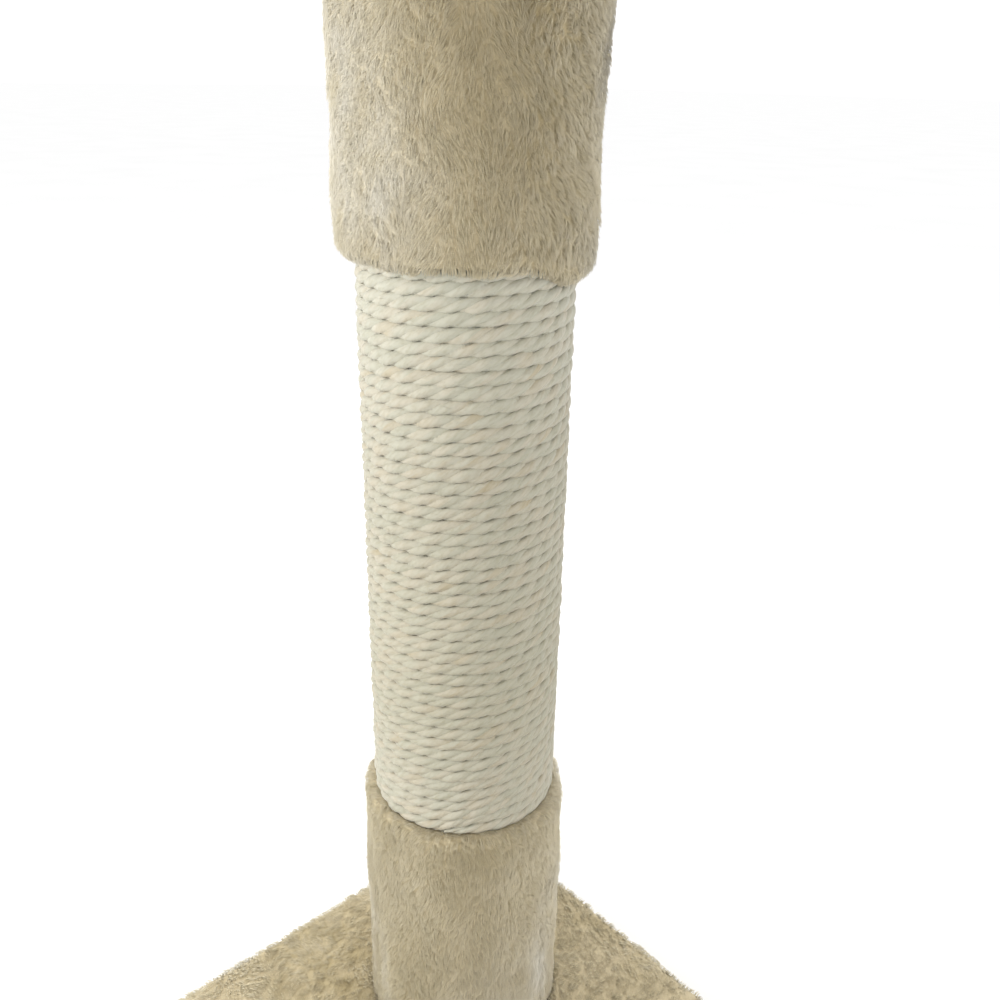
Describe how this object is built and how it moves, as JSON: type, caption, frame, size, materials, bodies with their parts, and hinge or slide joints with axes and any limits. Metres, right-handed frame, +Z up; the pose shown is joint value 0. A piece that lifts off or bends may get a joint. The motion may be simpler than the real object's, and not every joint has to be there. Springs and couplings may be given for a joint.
{
  "type": "cat tree",
  "caption": "Cat tree with a square plush-covered base, a rope-wound scratching post between plush sleeves, and a square perch.",
  "frame": {"origin": "on the floor, under the middle of the base", "axes": "+Z up along the post; the post stands near the base corner at -X, +Y"},
  "size_m": [0.414, 0.414, 0.592],
  "materials": {
    "plush": "beige long-pile plush, lying downwards",
    "plush_panel": "beige short-pile plush",
    "sisal": "cream three-strand twisted sisal rope",
    "particle_board": "raw particle board",
    "plug_wood": "raw fibreboard",
    "beech": "plain beech",
    "card": "spiral-wound cardboard",
    "lining": "black non-woven cloth",
    "zinc_steel": "zinc plated"
  },
  "bodies": {
    "root": {"base_board": "particle_board", "base_cover": "plush", "base_lining": "lining", "base_staples": "zinc_steel", "base_bolt": "zinc_steel", "base_washer": "zinc_steel", "base_lock_screw": "zinc_steel", "post_tube": "card", "bottom_plug": "plug_wood", "bottom_insert": "zinc_steel", "bottom_plug_staples": "zinc_steel", "top_plug": "plug_wood", "top_insert": "zinc_steel", "top_plug_staples": "zinc_steel", "sisal_rope": "sisal", "rope_staples": "zinc_steel", "lower_sleeve": "plush", "upper_sleeve": "plush", "perch_board": "particle_board", "perch_cover": "plush", "perch_underside": "plush_panel", "perch_staples": "zinc_steel", "perch_stud": "zinc_steel", "perch_insert": "zinc_steel", "perch_dowel": "beech"}
  },
  "joints": []
}
